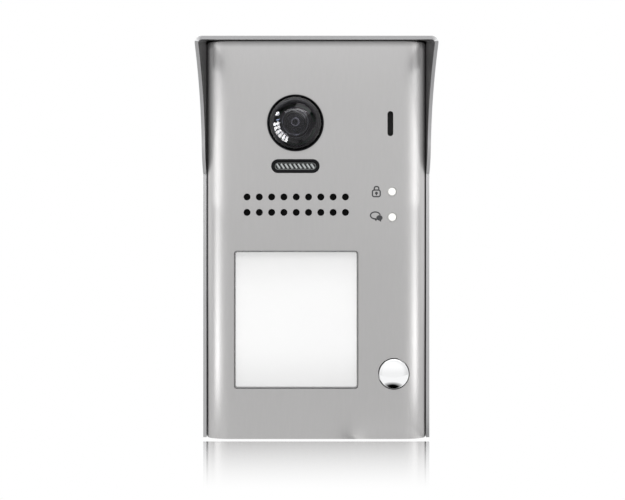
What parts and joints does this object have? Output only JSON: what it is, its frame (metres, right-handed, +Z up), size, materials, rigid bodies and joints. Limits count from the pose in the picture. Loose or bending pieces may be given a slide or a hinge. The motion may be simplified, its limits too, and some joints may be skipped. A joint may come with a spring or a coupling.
{
  "type": "door intercom panel",
  "caption": "Surface-mount video door station with an aluminium front panel in a bent sheet rain hood, camera dome, speaker holes, name window and domed call button.",
  "frame": {"origin": "centre of the wall face of the hood's back plate, at the middle of the panel's width and height", "axes": "+X to the visitor's right, +Y into the wall, +Z up"},
  "size_m": [0.0984, 0.052, 0.1802],
  "materials": {
    "hood_aluminium": "satin anodised sheet",
    "panel_aluminium": "satin anodised extrusion",
    "bracket_steel": "zinc plated",
    "fixing_steel": "bright plated",
    "spring_steel": "drawn wire",
    "speaker_steel": "matt plated",
    "lens_metal": "matt black anodised",
    "button_chrome": "polished",
    "bezel_plastic": "gloss black",
    "dome_plastic": "clear, smoke tinted",
    "lens_glass": "coated",
    "clear_plastic": "clear",
    "opal_plastic": "opal",
    "white_light": "lit white",
    "card_paper": "blank white card",
    "end_cap_plastic": "moulded",
    "rear_plastic": "moulded",
    "inner_plastic": "moulded",
    "cream_plastic": "moulded",
    "terminal_plastic": "moulded",
    "terminal_brass": "bright",
    "circuit_board": "solder mask",
    "cone_paper": "coated pulp",
    "membrane_fabric": "woven acoustic mesh",
    "seal_rubber": "silicone"
  },
  "bodies": {
    "station": {"rain_hood": "hood_aluminium", "mounting_bracket": "bracket_steel", "bracket_rivet_left": "fixing_steel", "bracket_rivet_right": "fixing_steel", "security_screw": "fixing_steel", "front_panel": "panel_aluminium", "top_end_cap": "end_cap_plastic", "bottom_end_cap": "end_cap_plastic", "rear_cover": "rear_plastic", "rear_gasket": "seal_rubber", "cover_screw_1": "fixing_steel", "cover_screw_2": "fixing_steel", "cover_screw_3": "fixing_steel", "cover_screw_4": "fixing_steel", "main_board": "circuit_board", "camera_dome": "dome_plastic", "dome_bezel": "bezel_plastic", "dome_seal": "seal_rubber", "camera_bracket": "inner_plastic", "led_window": "clear_plastic", "led_window_bezel": "bezel_plastic", "led_board": "circuit_board", "light_emitter_1": "white_light", "light_emitter_2": "white_light", "light_emitter_3": "white_light", "light_emitter_4": "white_light", "speaker_mesh": "speaker_steel", "speaker_gasket": "seal_rubber", "speaker_frame": "inner_plastic", "speaker_magnet": "speaker_steel", "microphone_membrane": "membrane_fabric", "microphone_boot": "seal_rubber", "microphone": "fixing_steel", "unlock_light": "white_light", "talk_light": "white_light", "name_card": "card_paper", "name_diffuser": "opal_plastic", "name_holder": "inner_plastic", "button_guide": "inner_plastic", "button_spring": "spring_steel", "stem_seal": "seal_rubber", "switch_body": "inner_plastic", "terminal_block": "terminal_plastic", "terminal_screw_1": "terminal_brass", "terminal_screw_2": "terminal_brass", "terminal_screw_3": "terminal_brass", "terminal_screw_4": "terminal_brass", "dip_switch": "inner_plastic", "volume_trimmer": "end_cap_plastic"},
    "call_button": {"call_button": "button_chrome"},
    "switch_plunger": {"switch_plunger": "cream_plastic"},
    "camera": {"camera_cradle": "inner_plastic", "lens_barrel": "lens_metal", "front_lens": "lens_glass", "sensor_board": "circuit_board"},
    "speaker_cone": {"speaker_cone": "cone_paper"},
    "name_window": {"name_window": "clear_plastic"},
    "volume_rotor": {"volume_rotor": "cream_plastic"},
    "dip_lever_1": {"dip_lever_1": "cream_plastic"},
    "dip_lever_2": {"dip_lever_2": "cream_plastic"}
  },
  "joints": [
    {"name": "call_button_press", "type": "slide", "parent": "station", "child": "call_button", "axis": [0, 1, 0], "range_m": [0, 0.0015], "stiffness_N_per_m": 800, "springref_m": -0.002, "deforming": ["button_spring"]},
    {"name": "switch_plunger_press", "type": "slide", "parent": "station", "child": "switch_plunger", "axis": [0, 1, 0], "range_m": [0, 0.0003]},
    {"name": "camera_tilt", "type": "hinge", "parent": "station", "child": "camera", "pos_m": [-0.009, -0.0225, 0.0512], "axis": [1, 0, 0], "range_deg": [-10, 10]},
    {"name": "speaker_cone_travel", "type": "slide", "parent": "station", "child": "speaker_cone", "axis": [0, 1, 0], "range_m": [-0.0004, 0.0004], "stiffness_N_per_m": 1200},
    {"name": "name_window_release", "type": "slide", "parent": "station", "child": "name_window", "axis": [0, -1, 0], "range_m": [0, 0.015]},
    {"name": "volume_turn", "type": "hinge", "parent": "station", "child": "volume_rotor", "pos_m": [0.0055, -0.0071, -0.053], "axis": [0, 1, 0], "range_deg": [-135, 135]},
    {"name": "dip_lever_1_slide", "type": "slide", "parent": "station", "child": "dip_lever_1", "axis": [0, 0, 1], "range_m": [0, 0.0018]},
    {"name": "dip_lever_2_slide", "type": "slide", "parent": "station", "child": "dip_lever_2", "axis": [0, 0, 1], "range_m": [0, 0.0018]}
  ],
  "couplings": [
    {"joint": "switch_plunger_press", "follows": "call_button_press", "ratio": 0.2}
  ]
}
